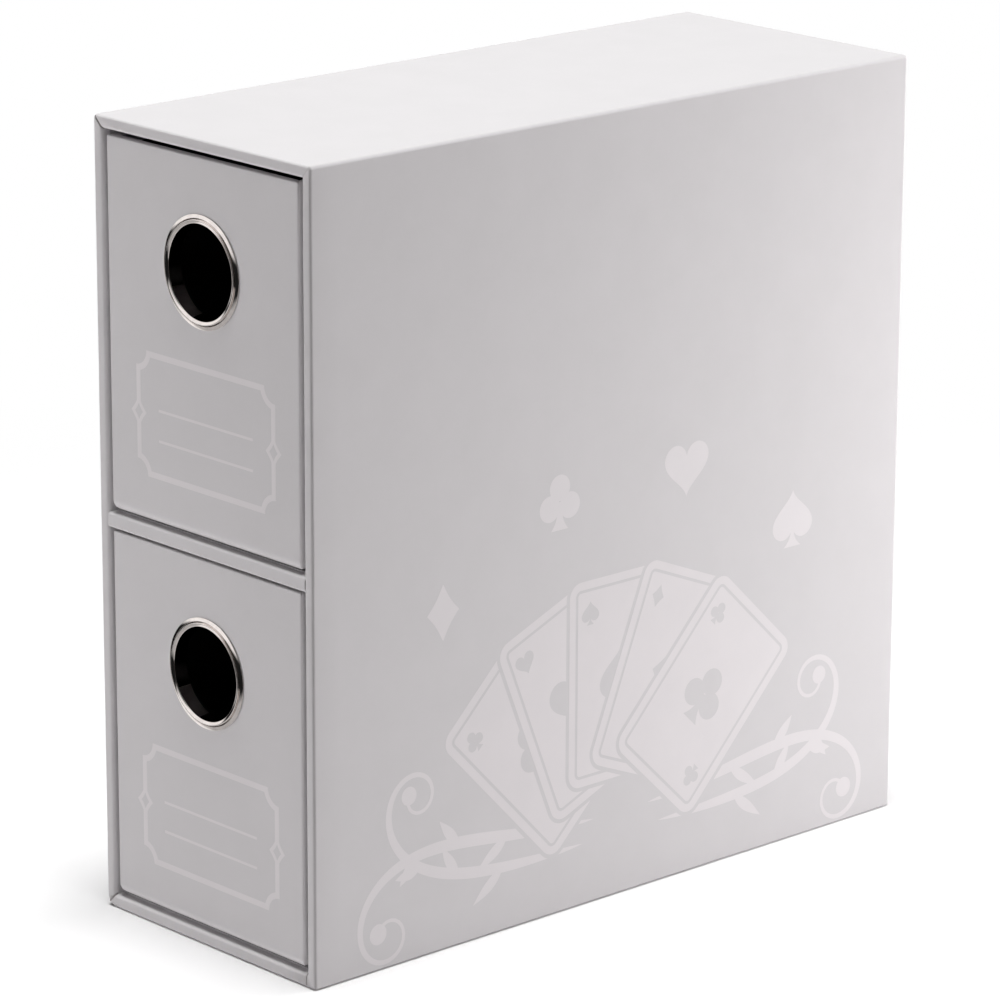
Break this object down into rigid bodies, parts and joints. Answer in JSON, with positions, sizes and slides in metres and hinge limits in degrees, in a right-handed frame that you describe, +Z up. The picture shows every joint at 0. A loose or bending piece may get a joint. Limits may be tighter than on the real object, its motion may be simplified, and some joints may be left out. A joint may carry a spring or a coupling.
{
  "type": "card box with drawers",
  "caption": "Upright paper-covered board case with a fixed shelf and stacked sliding drawers for sleeved playing cards, each with a metal finger ring.",
  "frame": {"origin": "under the middle of the case, on the plane that it stands on", "axes": "+Z up; -Y is the front, where the drawers slide out; +X is to the right of someone who looks at the front"},
  "size_m": [0.084, 0.2104, 0.212],
  "materials": {
    "cover_paper": "satin laminate, very pale lilac grey",
    "bay_paper": "matte, pale grey",
    "black_paper": "matte black",
    "greyboard": "raw grey board",
    "plated_ring": "polished nickel plate on thin steel"
  },
  "bodies": {
    "case": {"case_left_board": "greyboard", "case_right_board": "greyboard", "case_top_board": "greyboard", "case_bottom_board": "greyboard", "case_back_board": "greyboard", "case_shelf_board": "greyboard", "case_wrap": "cover_paper", "case_shelf_wrap": "cover_paper", "case_back_sheet": "cover_paper", "case_base_sheet": "cover_paper", "case_upper_lining": "bay_paper", "case_lower_lining": "bay_paper"},
    "upper_drawer": {"upper_drawer_front_board": "greyboard", "upper_drawer_back_board": "greyboard", "upper_drawer_left_board": "greyboard", "upper_drawer_right_board": "greyboard", "upper_drawer_floor_board": "greyboard", "upper_drawer_wrap": "cover_paper", "upper_drawer_lining": "black_paper", "upper_drawer_finger_ring": "plated_ring", "upper_drawer_ring_washer": "plated_ring"},
    "lower_drawer": {"lower_drawer_front_board": "greyboard", "lower_drawer_back_board": "greyboard", "lower_drawer_left_board": "greyboard", "lower_drawer_right_board": "greyboard", "lower_drawer_floor_board": "greyboard", "lower_drawer_wrap": "cover_paper", "lower_drawer_lining": "black_paper", "lower_drawer_finger_ring": "plated_ring", "lower_drawer_ring_washer": "plated_ring"}
  },
  "joints": [
    {"name": "upper_drawer_slide", "type": "slide", "parent": "case", "child": "upper_drawer", "axis": [0, -1, 0], "range_m": [0, 0.21]},
    {"name": "lower_drawer_slide", "type": "slide", "parent": "case", "child": "lower_drawer", "axis": [0, -1, 0], "range_m": [0, 0.21]}
  ]
}
